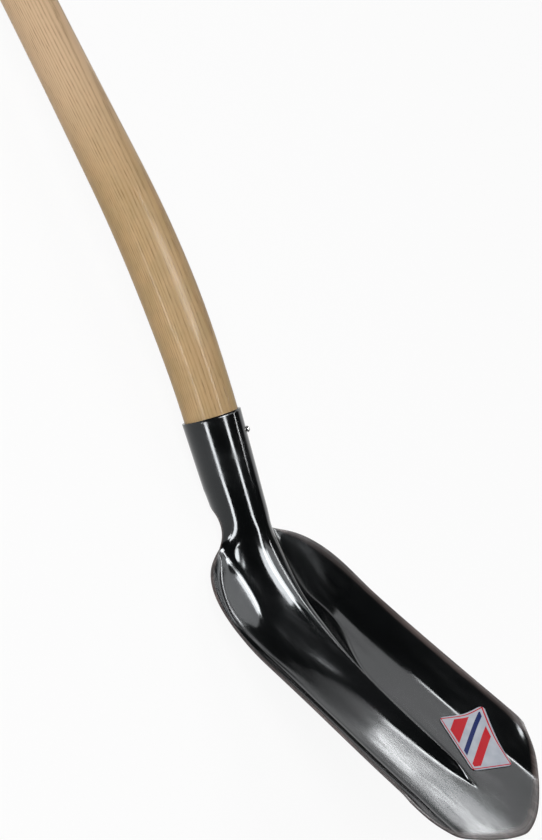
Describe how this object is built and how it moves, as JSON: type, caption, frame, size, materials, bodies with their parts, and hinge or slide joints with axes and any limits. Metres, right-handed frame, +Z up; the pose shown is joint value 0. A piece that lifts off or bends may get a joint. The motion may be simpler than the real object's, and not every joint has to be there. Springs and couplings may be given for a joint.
{
  "type": "spade",
  "caption": "Narrow trench spade with a ribbed, round-tipped black steel blade, a rolled socket and a long ash handle bent above it.",
  "frame": {"origin": "On the plane that the spade lies on, below the middle of its length and width.", "axes": "+X along the spade from the handle's end to the blade's tip, +Y across the blade, +Z up. The spade lies on its back: the heel of the blade and the end of the handle touch z = 0."},
  "size_m": [1.4028, 0.144, 0.1304],
  "materials": {
    "black_lacquered_steel": "gloss",
    "lacquered_ash": "satin",
    "zinc_plated_steel": "polished",
    "printed_foil": "satin"
  },
  "bodies": {
    "root": {"head": "black_lacquered_steel", "handle": "lacquered_ash", "nail": "zinc_plated_steel", "label": "printed_foil"}
  },
  "joints": []
}
